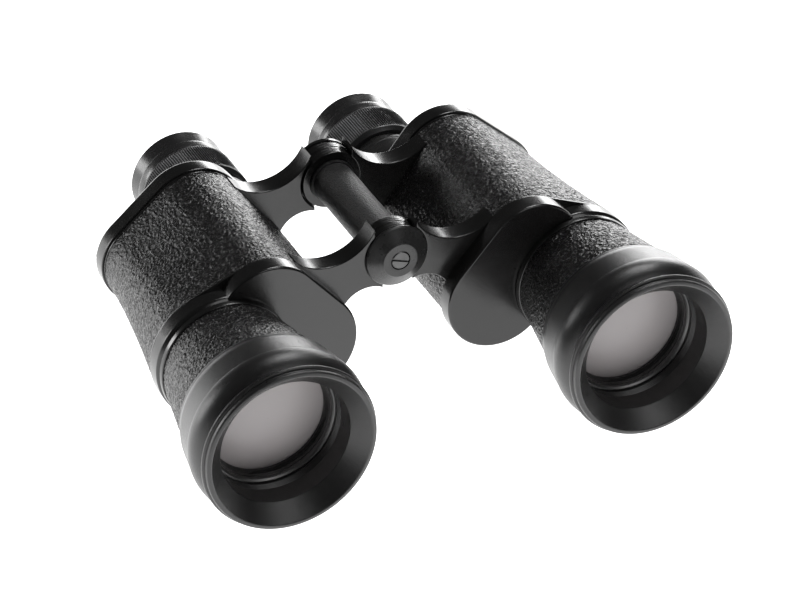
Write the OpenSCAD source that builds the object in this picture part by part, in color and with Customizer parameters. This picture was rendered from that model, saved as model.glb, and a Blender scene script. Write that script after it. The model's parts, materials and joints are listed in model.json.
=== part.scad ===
// Porro-prism binoculars with individually focused eyepieces.
// Two prism housings turn about one hinge; each carries an objective in front and an eyepiece behind.
// +Z is up, the objectives face -Y, and "left" is the half before the user's left eye, on the +X side.
// Lengths along the barrels are stations: distances behind the front rim of the objective cells.

/* [Optical layout] */
// Half the distance between the two objective axes
objective_x = 63.5; // [60:0.5:68]
// How far the objective axes lie below the hinge axis
objective_drop = 20.1; // [17:0.1:23]
// Half the distance between the two eyepiece axes
eyepiece_x = 33.4; // [32.5:0.1:34.5]
// How far the eyepiece axes lie below the hinge axis
eyepiece_drop = 21.9; // [20.5:0.1:23]
// Radius of each objective lens
lens_r = 21.5; // [21:0.1:21.5]

/* [Objective cell and tube] */
// Largest outer radius of the objective cell
cell_r = 30.2; // [29.8:0.1:31]
// Station of the rear edge of the objective cell
cell_end = 27; // [25:0.5:29]
// Radius of the cell's throat, which takes a cap or filter
throat_r = 22; // [22:0.1:22.4]
// Outer radius of the objective tube's covering behind the cell
tube_front_r = 26.8; // [26.5:0.1:27.2]
// Outer radius of the objective tube's covering at the front plate
tube_rear_r = 22.1; // [21.8:0.1:22.3]

/* [Prism housing] */
// Station of the housing's front end
case_start = 62.5; // [62:0.1:63]
// Station of the housing's rear end
case_end = 123; // [122.5:0.1:124]
// Radius of the housing's upper lobe
upper_lobe_r = 17.6; // [17.2:0.1:18]
// Radius of the housing's lobe round the eyepiece axis
inner_lobe_r = 15.8; // [15.5:0.1:16.2]
// Radius of the housing's outer lobe at its front end
outer_lobe_front_r = 23.1; // [22.8:0.1:23.3]
// Radius of the housing's outer lobe at its rear end
outer_lobe_rear_r = 16.2; // [15.8:0.1:16.8]
// Wall thickness of the housing casting
case_wall = 2.2; // [2:0.1:2.4]
// Thickness of the grained covering on the housing and the tube
covering_t = 0.8; // [0.6:0.1:1]

/* [Hinge] */
// Radius of the hinge axle
axle_r = 5; // [4.8:0.1:5.2]
// Outer radius of the tube between the arms
hinge_tube_r = 7.3; // [7:0.1:7.6]
// Outer radius of the knuckles at the ends of the arms
knuckle_r = 10.6; // [10.3:0.1:10.7]
// Radius of the turned cap in front of the hinge
cap_r = 11.1; // [10.8:0.1:11.3]

/* [Eyepieces] */
// Outer radius of the knurled focus ring
focus_ring_r = 17.7; // [17.4:0.1:18]
// Number of ribs round the focus ring
knurl_ribs = 132; // [120:1:140]
// Largest outer radius of the eyecup
eyecup_r = 17.4; // [17:0.1:17.7]
// Overall length of the binoculars
overall_length = 173.7; // [173:0.1:175]

/* [Hidden] */

$fn = 96;
eps = 0.01;
// How far a band's corners lie inside its circles, so that the two cross cleanly
graze = 0.002;

// Heights and points across the barrels, as [x, z] from the hinge axis
hinge_height = objective_drop + cell_r;
objective = [objective_x, -objective_drop];
eyepiece = [eyepiece_x, -eyepiece_drop];
upper_lobe = [47, -7.5];
shield_lobe = [35.3, -22.3];
// The light turns twice by 180 degrees at right angles, so this point sees both axes at 90 degrees
turn_axis = (objective + eyepiece) / 2
    + [eyepiece[1] - objective[1], objective[0] - eyepiece[0]] / 2;

// Objective cell and lens stations
throat_station = 5.7;
retainer_station = 16.7;
tube_start = 17.7;
lens_seat = 22.2;
lens_edge = 22.4;
crown_edge_t = 2;
flint_t = 3;
crown_front_radius = 100;
crown_back_radius = 80;
flint_back_radius = 400;
lens_steps = 10;
thread_gap = 0.1;
cell_bore_r = tube_front_r - covering_t - 0.5;

// Hollows of the housing, with a ledge between them that the prism shelf sits against
arc_steps = 23;
case_steps = 6;
pocket_upper_r = upper_lobe_r - covering_t - case_wall;
pocket_inner_r = inner_lobe_r - covering_t - case_wall;
front_pocket_r = 17;
rear_pocket_r = outer_lobe_rear_r - covering_t - case_wall;
ledge = 1;

// Rims at the ends of the casting, and the covering between them
rim = 0.9;
skin_start = case_start + rim + 0.05;
skin_end = case_end - rim - 0.05;
glue_t = 0.08;

// Front plate stations
flange_start = 53.9;
shield_face = 56.3;
shield_edge_r = 1.6;
shield_upper_r = 17.8;
shield_lower_r = 18.8;
spigot_r = 20.4;
shield_circles = [[upper_lobe, shield_upper_r], [shield_lobe, shield_lower_r]];

// Rear plate
rear_plate_end = 130.3;
rear_edge_r = 2.2;
rear_plate_lip = 0.7;
socket_r = 14;
rear_screw_r = 0.9;
rear_screw_head_r = 1.7;

// Arms and knuckles
front_arm = [case_start, case_start + 7.5];
rear_arm = [case_end - 8.3, case_end - 0.3];
knuckle_gap = 0.3;
knuckle_clearance = 0.6;
arm_hollow = [23.3, 18.6];
arm_hollow_r = 17.4;
arm_arch = [9.6, -20.6];
arm_arch_r = 10.4;
arm_top = 11.2;
// How far out the arm is cut away below the hinge, beside the other arm's knuckle
corner_relief = 6.2;
bore_clearance = 0.04;
front_split = (front_arm[0] + front_arm[1]) / 2;
rear_split = (rear_arm[0] + rear_arm[1]) / 2;

// Prism shelf and prisms
shelf_start = 91.7;
shelf_t = 4;
shelf_gap = 0.1;
ledge_station = shelf_start + shelf_t + 0.05;
prism_reach = norm(objective - turn_axis);
prism_half_t = prism_reach / 2;
aperture_r = 9.4;
clip_w = 6;
clip_t = 0.6;
clip_foot = 1.6;

// Eyepiece stations
collar_r = 16.6;
collar_end = 142.3;
sleeve_r = 15.2;
sleeve_bore_r = 13;
sleeve_end = 156;
ring_start = 145.9;
ring_end = 162.2;
rib_depth = 0.35;
eye_tube_r = 12.95;
eye_tube_bore_r = 11.6;
eye_tube_start = 138;
eye_tube_end = 165.6;
field_lens_span = [140, 145];
field_lens_radius = 32;
field_stop_station = 147;
field_stop_r = 8.5;
eye_lens_span = [157, 163.9];
eye_lens_radius = 26;

// Points on an arc from angle a0 to a1, both ends included
function arc(cx, cy, r, a0, a1, n = 8) =
    [for (i = [0:n]) let (a = a0 + (a1 - a0) * i / n) [cx + r * cos(a), cy + r * sin(a)]];

// Radius of the outer lobe of the housing at a station
function outer_lobe_r(s) = outer_lobe_rear_r
    + (outer_lobe_front_r - outer_lobe_rear_r)
    * pow(max(0, case_end - s) / (case_end - case_start), 1.5);

// Places the children, drawn on the +X side, as the left or the right half
module on_left() {
    translate([0, -overall_length / 2, hinge_height]) children();
}

module on_right() {
    translate([0, -overall_length / 2, hinge_height]) mirror([1, 0, 0]) children();
}

module on_hinge() {
    translate([0, -overall_length / 2, hinge_height]) children();
}

// Extrudes a profile drawn in X and Z between two stations
module between(s0, s1) {
    translate([0, s0, 0]) rotate([-90, 0, 0]) mirror([0, 1, 0])
        linear_extrude(s1 - s0) children();
}

// Turns a profile of [radius, station] points about an axis along the barrels
module turned(centre = [0, 0]) {
    translate([centre[0], 0, centre[1]]) rotate([-90, 0, 0]) rotate_extrude() children();
}

// A round rod or hole along the barrels
module rod(centre, r, s0, s1) {
    translate([centre[0], s0, centre[1]]) rotate([-90, 0, 0]) cylinder(r = r, h = s1 - s0);
}

// Two circles and the band tangent to both
module band(c1, r1, c2, r2) {
    d = c2 - c1;
    along = atan2(d[1], d[0]);
    lean = acos((r1 - r2) / norm(d));
    translate(c1) circle(r1);
    translate(c2) circle(r2);
    polygon([
        c1 + (r1 - graze) * [cos(along + lean), sin(along + lean)],
        c1 + (r1 - graze) * [cos(along - lean), sin(along - lean)],
        c2 + (r2 - graze) * [cos(along - lean), sin(along - lean)],
        c2 + (r2 - graze) * [cos(along + lean), sin(along + lean)]
    ]);
}

// Direction in which two [centre, radius] circles share a tangent, on the right of the way between them
function tangent(c1, c2) =
    let (d = c2[0] - c1[0]) atan2(d[1], d[0]) - acos((c1[1] - c2[1]) / norm(d));

// Points on one circle's arc of an outline, shrunk by inset, between its neighbours before and after
function outline_arc(before, c, after, inset) =
    let (a0 = tangent(before, c), sweep = ((tangent(c, after) - a0) % 360 + 360) % 360)
    [for (i = [0:arc_steps]) let (a = a0 + sweep * i / arc_steps)
        c[0] + (c[1] - inset) * [cos(a), sin(a)]];

// Points round the tight outline of several [centre, radius] circles, listed anticlockwise
function outline(circles, inset = 0) =
    let (n = len(circles))
    [for (k = [0:n - 1])
        each outline_arc(circles[(k + n - 1) % n], circles[k], circles[(k + 1) % n], inset)];

// Skins a list of [station, outline points]
module loft(rings) {
    n = len(rings[0][1]);
    m = len(rings);
    points = [for (ring = rings) for (p = ring[1]) [p[0], ring[0], p[1]]];
    sides = [for (j = [0:m - 2]) for (i = [0:n - 1])
        let (a = j * n + i, b = j * n + (i + 1) % n)
        each [[a, b, b + n], [a, b + n, a + n]]];
    ends = [[for (i = [n - 1:-1:0]) i], [for (i = [0:n - 1]) (m - 1) * n + i]];
    polyhedron(points, concat(sides, ends));
}

// The housing's three-lobed outline
module lobes(upper_r, outer_r, inner_r) {
    band(upper_lobe, upper_r, objective, outer_r);
    band(upper_lobe, upper_r, eyepiece, inner_r);
    band(objective, outer_r, eyepiece, inner_r);
    polygon([upper_lobe, objective, eyepiece]);
}

// The three circles of the housing's outline at a station
function case_circles(s) =
    [[objective, outer_lobe_r(s)], [upper_lobe, upper_lobe_r], [eyepiece, inner_lobe_r]];

// Rings along the tapering housing, shrunk all round by inset
function case_rings(s0, s1, inset) =
    [for (i = [0:case_steps]) let (s = s0 + (s1 - s0) * i / case_steps)
        [s, outline(case_circles(s), inset)]];

// The arm's outline: hollowed above and arched below, from the hinge into the housing
module arm_outline() {
    difference() {
        polygon([[4.2, -14], [7.5, arm_top], [35, arm_top], [35, 5], [42, -10], [32, -22], [18.8, -22]]);
        translate(arm_hollow) circle(arm_hollow_r);
        translate(arm_arch) circle(arm_arch_r);
    }
}

// One arm with its half-thickness knuckle between stations k0 and k1
module arm(span, k0, k1) {
    o0 = k0 > span[0] ? span[0] : k1;
    o1 = k0 > span[0] ? k0 : span[1];
    difference() {
        between(span[0], span[1]) arm_outline();
        rod([0, 0], knuckle_r + knuckle_clearance, o0 - eps, o1 + eps);
        between(o0 - eps, o1 + eps) translate([0, -2 * knuckle_r]) square([corner_relief, 2 * knuckle_r]);
    }
    rod([0, 0], knuckle_r, k0, k1);
}

module arms(outer) {
    half_gap = knuckle_gap / 2;
    if (outer) {
        arm(front_arm, front_arm[0], front_split - half_gap);
        arm(rear_arm, rear_split + half_gap, rear_arm[1]);
    } else {
        arm(front_arm, front_split + half_gap, front_arm[1]);
        arm(rear_arm, rear_arm[0], rear_split - half_gap);
    }
}

// The cast housing with its two arms; "outer" gives it the knuckles at the ends of the hinge
module body(outer) {
    color([0.07, 0.07, 0.075])
    difference() {
        union() {
            loft(concat(
                [[case_start + rim / 2, outline(case_circles(case_start), covering_t)]],
                case_rings(skin_start, skin_end, covering_t),
                [[case_end - rim / 2, outline(case_circles(case_end), covering_t)]]
            ));
            between(case_start, case_start + rim)
                lobes(upper_lobe_r, outer_lobe_r(case_start), inner_lobe_r);
            between(case_end - rim, case_end)
                lobes(upper_lobe_r, outer_lobe_rear_r, inner_lobe_r);
            arms(outer);
        }
        between(case_start - 1, ledge_station)
            lobes(pocket_upper_r, front_pocket_r, pocket_inner_r);
        between(ledge_station - 1, case_end + 1)
            lobes(pocket_upper_r - ledge, rear_pocket_r, pocket_inner_r - ledge);
        rod([0, 0], axle_r + bore_clearance, case_start - 1, case_end + 1);
        for (p = rear_screw_points()) rod(p, rear_screw_r + 0.05, case_end - 5, case_end + 1);
    }
}

// Where the rear plate's screws enter the housing's wall
function rear_screw_points() = [
    for (c = [
        [upper_lobe, upper_lobe_r, 75], [objective, outer_lobe_rear_r, 5], [objective, outer_lobe_rear_r, -110]
    ])
        c[0] + (c[1] - covering_t - case_wall / 2) * [cos(c[2]), sin(c[2])]
];

// The grained skin round the housing, cut away where the arms leave it
module body_covering() {
    inner = covering_t - glue_t;
    color([0.05, 0.05, 0.05])
    difference() {
        loft(case_rings(skin_start, skin_end, 0));
        loft(concat(
            [[skin_start - 1, outline(case_circles(skin_start), inner)]],
            case_rings(skin_start, skin_end, inner),
            [[skin_end + 1, outline(case_circles(skin_end), inner)]]
        ));
        between(front_arm[0] - 1, front_arm[1] + 0.05) arm_outline();
        between(rear_arm[0] - 0.05, rear_arm[1] + 1) arm_outline();
    }
}

// The smooth cover in front of the prisms, with the flange that the objective tube screws into
module front_plate() {
    back = case_start - 0.05;
    color([0.09, 0.09, 0.095])
    difference() {
        union() {
            loft([
                for (a = [90:-15:0])
                    [shield_face + shield_edge_r * (1 - sin(a)),
                     outline(shield_circles, shield_edge_r * (1 - cos(a)))],
                [back, outline(shield_circles)]
            ]);
            between(back - 2.2, back) lobes(upper_lobe_r - 0.6, outer_lobe_front_r - 3, inner_lobe_r);
            turned(objective) polygon([
                [0, flange_start], [22.1, flange_start], [22.5, flange_start + 0.4],
                [22.5, flange_start + 2], [22.1, flange_start + 2.3], [22.1, flange_start + 2.7],
                [22.6, flange_start + 3.1], [outer_lobe_front_r, flange_start + 4],
                [outer_lobe_front_r, back], [0, back]
            ]);
        }
        rod(objective, spigot_r + thread_gap, flange_start - 1, back + 1);
    }
}

// The cover behind the prisms; the eyepiece mount screws into its socket
module rear_plate() {
    color([0.08, 0.08, 0.085])
    difference() {
        loft([
            [case_end + 0.05, outline(case_circles(case_end), 0.4 - rear_plate_lip)],
            [case_end + 0.45, outline(case_circles(case_end), -rear_plate_lip)],
            for (a = [0:15:90])
                [rear_plate_end - rear_edge_r * (1 - sin(a)),
                 outline(case_circles(case_end), rear_edge_r * (1 - cos(a)) - rear_plate_lip)]
        ]);
        between(case_end - 1, case_end + 4.4)
            lobes(pocket_upper_r - ledge, rear_pocket_r, pocket_inner_r - ledge);
        rod(eyepiece, socket_r + thread_gap, case_end, rear_plate_end + 1);
        for (p = rear_screw_points()) {
            rod(p, rear_screw_r + 0.1, case_end, rear_plate_end + 1);
            rod(p, rear_screw_head_r + 0.1, rear_plate_end - 1.6, rear_plate_end + 1);
        }
    }
}

// Slotted screws that hold the rear plate
module rear_plate_screws() {
    color([0.6, 0.6, 0.62])
    for (p = rear_screw_points()) {
        difference() {
            union() {
                rod(p, rear_screw_head_r, rear_plate_end - 1.55, rear_plate_end - 0.25);
                rod(p, rear_screw_r, case_end - 4.5, rear_plate_end - 1.5);
            }
            translate([p[0] - 2, rear_plate_end - 0.75, p[1] - 0.2]) cube([4, 1, 0.4]);
        }
    }
}

// The tapering metal tube that carries the objective lens
module objective_tube() {
    front_r = tube_front_r - covering_t;
    rear_r = tube_rear_r - covering_t;
    color([0.1, 0.1, 0.1])
    turned(objective) polygon([
        [throat_r, tube_start], [cell_bore_r - thread_gap, tube_start],
        [cell_bore_r - thread_gap, cell_end], [front_r, cell_end],
        [rear_r, flange_start - 0.05], [spigot_r, flange_start - 0.05],
        [spigot_r, case_start - 0.1], [spigot_r - 2, case_start - 0.1],
        [spigot_r - 2, flange_start], [lens_r - 1.2, lens_edge + 12],
        [lens_r - 1.2, lens_edge + 8], [lens_r + 0.05, lens_edge + 8],
        [lens_r + 0.05, lens_seat], [throat_r, lens_seat]
    ]);
}

// The grained skin round the objective tube
module tube_covering() {
    slope = (tube_front_r - tube_rear_r) / (flange_start - cell_end);
    color([0.05, 0.05, 0.05])
    turned(objective) polygon([
        [tube_front_r - covering_t, cell_end], [tube_front_r, cell_end],
        [tube_rear_r + 0.5 * slope, flange_start - 0.5], [tube_rear_r - 0.3, flange_start - 0.05],
        [tube_rear_r - covering_t, flange_start - 0.05]
    ]);
}

// The flared cell screwed over the front of the tube
module objective_cell() {
    rim_r = cell_r - 1.8;
    color([0.08, 0.08, 0.085])
    turned(objective) polygon(concat(
        [[throat_r + 0.4, retainer_station + 0.9], [throat_r + 0.4, retainer_station - 0.1],
         [throat_r, retainer_station - 0.1], [throat_r, throat_station]],
        [[throat_r + 0.5, throat_station - 0.7]],
        arc(rim_r - 0.9, 0.7, 0.7, 225, 300, 3),
        arc(rim_r - 0.5, 0.9, 0.9, 300, 360, 3),
        [[rim_r + 0.4, 1.7]],
        arc(cell_r - 1.5, 2.9, 0.9, 240, 340, 4),
        arc(cell_r - 9, 11.5, 9, -45, 18, 9),
        [[cell_r - 1.8, cell_end - 3.3], [cell_r - 2.6, cell_end - 1.4]],
        arc(tube_front_r + 0.05, cell_end - 0.6, 0.6, 20, 90, 3),
        [[cell_bore_r, cell_end], [cell_bore_r, retainer_station + 0.9]]
    ));
}

// The black ring that holds the objective lens in its seat
module lens_retainer() {
    outer_r = throat_r - thread_gap;
    color([0.05, 0.05, 0.05])
    turned(objective) polygon([
        [outer_r, retainer_station], [outer_r, lens_seat - 0.05], [lens_r - 1.9, lens_seat - 0.45],
        [lens_r - 1.9, lens_seat - 1.4], [lens_r - 1.1, lens_seat - 2.2],
        [lens_r - 1.1, retainer_station + 1.6], [lens_r - 0.6, retainer_station + 1],
        [lens_r - 0.6, retainer_station]
    ]);
}

// How far a lens surface bulges between its rim and radius x
function bulge(radius, x) = sqrt(radius * radius - x * x) - sqrt(radius * radius - lens_r * lens_r);

// Profile points of a lens surface from its middle to its rim; dir is -1 when it bulges forward
function lens_curve(radius, edge, dir) =
    [for (i = [0:lens_steps]) let (x = lens_r * i / lens_steps) [x, edge + dir * bulge(radius, x)]];

function reversed(list) = [for (i = [len(list) - 1:-1:0]) list[i]];

// The front element, bulging both ways
module objective_crown_lens() {
    color([0.6, 0.65, 0.7, 0.4])
    turned(objective) polygon(concat(
        lens_curve(crown_front_radius, lens_edge, -1),
        reversed(lens_curve(crown_back_radius, lens_edge + crown_edge_t, 1))
    ));
}

// The rear element, cemented to the crown lens
module objective_flint_lens() {
    back_edge = lens_edge + crown_edge_t + bulge(crown_back_radius, 0) + flint_t - bulge(flint_back_radius, 0);
    color([0.6, 0.65, 0.7, 0.4])
    turned(objective) polygon(concat(
        lens_curve(crown_back_radius, lens_edge + crown_edge_t + 0.01, 1),
        reversed(lens_curve(flint_back_radius, back_edge, 1))
    ));
}

// The plate across the housing that both prisms sit on
module prism_shelf() {
    s1 = shelf_start + shelf_t;
    color([0.55, 0.55, 0.57])
    difference() {
        between(shelf_start, s1)
            lobes(pocket_upper_r - shelf_gap, front_pocket_r - shelf_gap, pocket_inner_r - shelf_gap);
        for (p = [objective, turn_axis, eyepiece]) rod(p, aperture_r, shelf_start - 1, s1 + 1);
    }
}

// A roof-shaped prism with its long face on the shelf; it turns the light from axis a to axis b.
// dir is 1 when the prism stands behind the shelf and -1 when it stands in front
module prism(a, b, station, dir) {
    mid = (a + b) / 2;
    swing = atan2(b[1] - a[1], b[0] - a[0]);
    half = norm(b - a);
    translate([mid[0], station, mid[1]]) rotate([0, -swing, 0]) intersection() {
        translate([0, dir > 0 ? 0 : -half, 0]) between(0, half) {
            square([half, 2 * prism_half_t], center = true);
            for (e = [-1, 1]) translate([e * half / 2, 0]) circle(prism_half_t);
        }
        linear_extrude(4 * prism_half_t, center = true)
            polygon([[-half, 0], [half, 0], [0, dir * half]]);
    }
}

module rear_prism() {
    color([0.7, 0.75, 0.8, 0.4])
    prism(objective, turn_axis, shelf_start + shelf_t + 0.05, 1);
}

module front_prism() {
    color([0.7, 0.75, 0.8, 0.4])
    prism(eyepiece, turn_axis, shelf_start - 0.05, -1);
}

// A spring strap over a prism's roof, with feet on the shelf
module prism_clip(a, b, station, dir) {
    mid = (a + b) / 2;
    swing = atan2(b[1] - a[1], b[0] - a[0]);
    h = norm(b - a) + 0.1;
    w = prism_half_t + 0.1;
    translate([mid[0], station, mid[1]]) rotate([0, -swing, 0]) rotate([0, 90, 0])
        linear_extrude(clip_w, center = true) polygon([
            [-w - clip_foot, 0], [-w, 0], [-w, dir * h], [w, dir * h], [w, 0], [w + clip_foot, 0],
            [w + clip_foot, dir * clip_t], [w + clip_t, dir * clip_t], [w + clip_t, dir * (h + clip_t)],
            [-w - clip_t, dir * (h + clip_t)], [-w - clip_t, dir * clip_t], [-w - clip_foot, dir * clip_t]
        ]);
}

module prism_clips() {
    color([0.75, 0.68, 0.45]) {
        prism_clip(objective, turn_axis, shelf_start + shelf_t + 0.05, 1);
        prism_clip(eyepiece, turn_axis, shelf_start - 0.05, -1);
    }
}

// The threaded mount fixed in the rear plate's socket
module eyepiece_mount() {
    color([0.09, 0.09, 0.095])
    turned(eyepiece) polygon([
        [sleeve_bore_r, rear_plate_end - 3], [socket_r, rear_plate_end - 3],
        [socket_r, rear_plate_end + 0.05], [collar_r + 0.5, rear_plate_end + 0.05],
        [collar_r + 0.5, rear_plate_end + 1.6], [collar_r, rear_plate_end + 2],
        [collar_r, collar_end - 0.5], [collar_r - 0.5, collar_end],
        [sleeve_r, collar_end], [sleeve_r, sleeve_end], [sleeve_bore_r, sleeve_end]
    ]);
}

// The sliding tube that holds the eyepiece's lenses
module eyepiece_tube() {
    color([0.12, 0.12, 0.12])
    turned(eyepiece) polygon([
        [eye_tube_bore_r, eye_tube_start], [eye_tube_r, eye_tube_start],
        [eye_tube_r, eye_tube_end - 0.8], [eye_tube_r - 0.8, eye_tube_end],
        [eye_tube_bore_r - 1.6, eye_tube_end], [eye_tube_bore_r - 2.4, eye_tube_end - 1.6],
        [eye_tube_bore_r, eye_tube_end - 1.6]
    ]);
}

// A plano-convex lens filling the eyepiece tube's bore
module eyepiece_lens(s0, s1, radius) {
    r = eye_tube_bore_r - 0.02;
    intersection() {
        rod(eyepiece, r, s0, s1);
        translate([eyepiece[0], s0 + radius, eyepiece[1]]) sphere(radius);
    }
}

module field_lens() {
    color([0.6, 0.65, 0.7, 0.4])
    eyepiece_lens(field_lens_span[0], field_lens_span[1], field_lens_radius);
}

module field_stop() {
    outer_r = eye_tube_bore_r - 0.02;
    color([0.1, 0.1, 0.1])
    turned(eyepiece) polygon([
        [field_stop_r, field_stop_station + 0.2], [outer_r, field_stop_station - 1],
        [outer_r, field_stop_station + 1], [field_stop_r, field_stop_station + 0.6]
    ]);
}

module eye_lens() {
    back = eye_lens_span[1];
    color([0.6, 0.65, 0.7, 0.4])
    translate([0, 2 * back, 0]) mirror([0, 1, 0])
        eyepiece_lens(back, 2 * back - eye_lens_span[0], eye_lens_radius);
}

// The ribbed ring that screws the eyepiece in and out
module focus_ring() {
    rib_step = 360 / knurl_ribs;
    color([0.1, 0.1, 0.1])
    difference() {
        turned(eyepiece) polygon([
            [sleeve_r + 0.1, ring_start], [focus_ring_r - 1.2, ring_start],
            [focus_ring_r - 0.1, ring_start + 1.3], [focus_ring_r, ring_start + 1.6],
            [focus_ring_r, ring_end - 0.8], [focus_ring_r - 0.5, ring_end - 0.05],
            [eye_tube_r + 0.02, ring_end - 0.05], [eye_tube_r + 0.02, sleeve_end + 3.5],
            [sleeve_r + 0.1, sleeve_end + 3.5]
        ]);
        for (i = [0:knurl_ribs - 1]) {
            translate([eyepiece[0], 0, eyepiece[1]]) rotate([0, i * rib_step, 0])
                translate([focus_ring_r, ring_start + 1.8, 0]) rotate([0, 45, 0])
                translate([-rib_depth / 2, 0, -rib_depth / 2])
                cube([rib_depth, ring_end - ring_start - 3, rib_depth]);
        }
    }
}

// The hard eyecup behind the focus ring
module eyecup() {
    lip = 1.1;
    color([0.04, 0.04, 0.04])
    turned(eyepiece) polygon(concat(
        [[eye_tube_r + 0.02, ring_end], [focus_ring_r - 0.8, ring_end],
         [eyecup_r - 0.4, ring_end + 1.2], [eyecup_r, ring_end + 5]],
        arc(eyecup_r - lip, overall_length - lip, lip, 0, 160, 8),
        arc(13, overall_length - 7.3, 1.2, 40, -30, 4),
        [[eye_tube_r + 0.02, overall_length - 8]]
    ));
}

// The steel axle through all four knuckles
module hinge_axle() {
    color([0.6, 0.6, 0.62])
    difference() {
        rod([0, 0], axle_r, front_arm[0] + 0.1, rear_arm[1] - 0.1);
        rod([0, 0], 1.6, front_arm[0] - 1, front_arm[0] + 12);
        rod([0, 0], 1.6, rear_arm[1] - 12, rear_arm[1] + 1);
    }
}

// The coated tube between the arms, with a collar at each end
module hinge_tube() {
    s0 = front_arm[1] + 0.1;
    s1 = rear_arm[0] - 0.1;
    collar = hinge_tube_r + 0.6;
    color([0.13, 0.13, 0.13])
    turned() polygon([
        [axle_r + 0.05, s0], [collar, s0], [collar, s0 + 0.9], [hinge_tube_r, s0 + 1.3],
        [hinge_tube_r, s1 - 1.3], [collar, s1 - 0.9], [collar, s1], [axle_r + 0.05, s1]
    ]);
}

// Friction washers between the knuckles
module hinge_washers() {
    t = knuckle_gap - 0.1;
    color([0.75, 0.68, 0.45])
    for (s = [front_split, rear_split]) {
        difference() {
            rod([0, 0], knuckle_r - 0.6, s - t / 2, s + t / 2);
            rod([0, 0], axle_r + 0.05, s - 1, s + 1);
        }
    }
}

// The turned cap in front of the hinge
module hinge_front_cap() {
    back = front_arm[0] - 0.05;
    color([0.25, 0.25, 0.26])
    turned() polygon([
        [1.7, back - 2.1], [3.4, back - 2.1], [3.4, back - 3.75], [6, back - 3.75],
        [6.15, back - 3.65], [cap_r - 0.25, back - 0.75], [cap_r, back - 0.5], [cap_r, back], [1.7, back]
    ]);
}

module hinge_cap_screw() {
    back = front_arm[0] - 0.05;
    color([0.4, 0.4, 0.42])
    difference() {
        union() {
            turned() polygon([
                [0, back - 3.9], [2.9, back - 3.8], [3.2, back - 3.5], [3.2, back - 2.15], [0, back - 2.15]
            ]);
            rod([0, 0], 1.5, back - 2.2, back + 8);
        }
        rotate([0, 18, 0]) translate([-4, back - 4.5, -0.4]) cube([8, 1.3, 0.8]);
    }
}

// The disc behind the hinge that carries the eye-distance scale
module hinge_scale_disc() {
    s = rear_arm[1] + 0.05;
    tick_step = 6;
    color([0.12, 0.12, 0.12])
    difference() {
        turned() polygon([
            [1.7, s], [cap_r - 0.1, s], [cap_r - 0.1, s + 1.2], [cap_r - 0.4, s + 1.5], [1.7, s + 1.5]
        ]);
        for (i = [-5:5]) {
            rotate([0, i * tick_step - 90, 0]) translate([8.2, s + 1.25, -0.15])
                cube([i % 5 == 0 ? 2.2 : 1.3, 1, 0.3]);
        }
    }
}

// The round slotted nut and its stud behind the scale disc
module hinge_rear_nut() {
    s = rear_arm[1] + 1.6;
    color([0.4, 0.4, 0.42])
    difference() {
        union() {
            turned() polygon([[0, s], [5.6, s], [5.6, s + 1.6], [4.8, s + 2.4], [0, s + 2.4]]);
            rod([0, 0], 1.5, s - 9, s + 0.1);
        }
        translate([-6, s + 1.5, -0.5]) cube([12, 2, 1]);
    }
}

on_left() body(false);  // left_body
on_right() body(true);  // right_body
on_left() body_covering();  // left_body_covering
on_right() body_covering();  // right_body_covering
on_left() front_plate();  // left_front_plate
on_right() front_plate();  // right_front_plate
on_left() rear_plate();  // left_rear_plate
on_right() rear_plate();  // right_rear_plate
on_left() rear_plate_screws();  // left_rear_plate_screws
on_right() rear_plate_screws();  // right_rear_plate_screws
on_left() objective_tube();  // left_objective_tube
on_right() objective_tube();  // right_objective_tube
on_left() tube_covering();  // left_tube_covering
on_right() tube_covering();  // right_tube_covering
on_left() objective_cell();  // left_objective_cell
on_right() objective_cell();  // right_objective_cell
on_left() lens_retainer();  // left_lens_retainer
on_right() lens_retainer();  // right_lens_retainer
on_left() objective_crown_lens();  // left_objective_crown_lens
on_right() objective_crown_lens();  // right_objective_crown_lens
on_left() objective_flint_lens();  // left_objective_flint_lens
on_right() objective_flint_lens();  // right_objective_flint_lens
on_left() prism_shelf();  // left_prism_shelf
on_right() prism_shelf();  // right_prism_shelf
on_left() front_prism();  // left_front_prism
on_right() front_prism();  // right_front_prism
on_left() rear_prism();  // left_rear_prism
on_right() rear_prism();  // right_rear_prism
on_left() prism_clips();  // left_prism_clips
on_right() prism_clips();  // right_prism_clips
on_left() eyepiece_mount();  // left_eyepiece_mount
on_right() eyepiece_mount();  // right_eyepiece_mount
on_left() eyepiece_tube();  // left_eyepiece_tube
on_right() eyepiece_tube();  // right_eyepiece_tube
on_left() field_lens();  // left_field_lens
on_right() field_lens();  // right_field_lens
on_left() field_stop();  // left_field_stop
on_right() field_stop();  // right_field_stop
on_left() eye_lens();  // left_eye_lens
on_right() eye_lens();  // right_eye_lens
on_left() focus_ring();  // left_focus_ring
on_right() focus_ring();  // right_focus_ring
on_left() eyecup();  // left_eyecup
on_right() eyecup();  // right_eyecup
on_hinge() hinge_axle();
on_hinge() hinge_tube();
on_hinge() hinge_washers();
on_hinge() hinge_front_cap();
on_hinge() hinge_cap_screw();
on_hinge() hinge_scale_disc();
on_hinge() hinge_rear_nut();
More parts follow.
